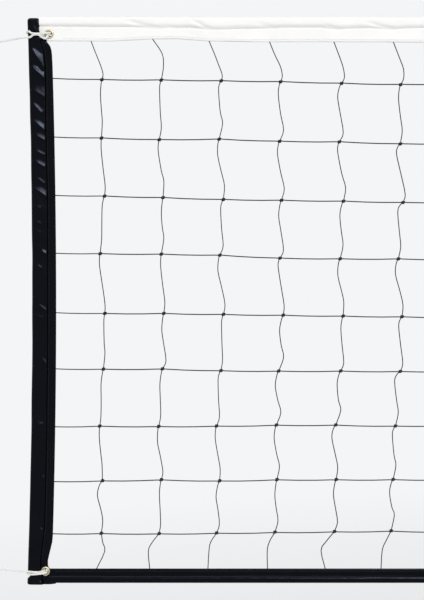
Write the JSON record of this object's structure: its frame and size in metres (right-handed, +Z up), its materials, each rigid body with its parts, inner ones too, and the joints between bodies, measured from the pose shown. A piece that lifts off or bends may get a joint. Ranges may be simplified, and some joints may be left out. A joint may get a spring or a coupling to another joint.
{
  "type": "volleyball net",
  "caption": "Square-mesh volleyball net with a white head band, black foot band, black side sleeves over rods, corner eyelets and tie cords.",
  "frame": {"origin": "middle of the eye at the end of the top left tie cord, where that corner is hung", "axes": "+X runs along the net from its left end to its right, -Y is the front seen in the picture, +Z is up"},
  "size_m": [9.6954, 0.0238, 1.002],
  "materials": {
    "white_vinyl": "satin coated cloth",
    "black_vinyl": "glossy coated cloth",
    "twine": "twisted nylon",
    "rope": "laid polypropylene",
    "glass_fibre": "drawn glass fibre",
    "rod_cap": "matt",
    "eyelet_brass": "plated, lightly dulled",
    "tie_cord": "braided nylon",
    "white_thread": "spun polyester",
    "black_thread": "spun polyester"
  },
  "bodies": {
    "net": {"bottom_band": "black_vinyl", "bottom_band_stitching": "black_thread", "eyelet_bottom_left": "eyelet_brass", "eyelet_bottom_right": "eyelet_brass", "eyelet_top_left": "eyelet_brass", "eyelet_top_right": "eyelet_brass", "foot_rope": "rope", "head_rope": "rope", "net_left": "twine", "net_middle": "twine", "net_right": "twine", "side_sleeve_left": "black_vinyl", "side_sleeve_right": "black_vinyl", "sleeve_stitching_left": "black_thread", "sleeve_stitching_right": "black_thread", "stop_knot_bottom_left": "tie_cord", "stop_knot_bottom_right": "tie_cord", "stop_knot_top_left": "tie_cord", "stop_knot_top_right": "tie_cord", "tie_cord_bottom_left": "tie_cord", "tie_cord_bottom_right": "tie_cord", "tie_cord_top_left": "tie_cord", "tie_cord_top_right": "tie_cord", "tie_eye_bottom_left": "tie_cord", "tie_eye_bottom_right": "tie_cord", "tie_eye_top_left": "tie_cord", "tie_eye_top_right": "tie_cord", "top_band": "white_vinyl", "top_band_stitching": "white_thread", "washer_bottom_left": "eyelet_brass", "washer_bottom_right": "eyelet_brass", "washer_top_left": "eyelet_brass", "washer_top_right": "eyelet_brass"},
    "rod_left": {"side_rod_left": "glass_fibre", "rod_caps_left": "rod_cap"},
    "rod_right": {"side_rod_right": "glass_fibre", "rod_caps_right": "rod_cap"}
  },
  "joints": [
    {"name": "rod_left_slide", "type": "slide", "parent": "net", "child": "rod_left", "axis": [0, 0, -1], "range_m": [0, 0.94]},
    {"name": "rod_right_slide", "type": "slide", "parent": "net", "child": "rod_right", "axis": [0, 0, -1], "range_m": [0, 0.94]}
  ]
}
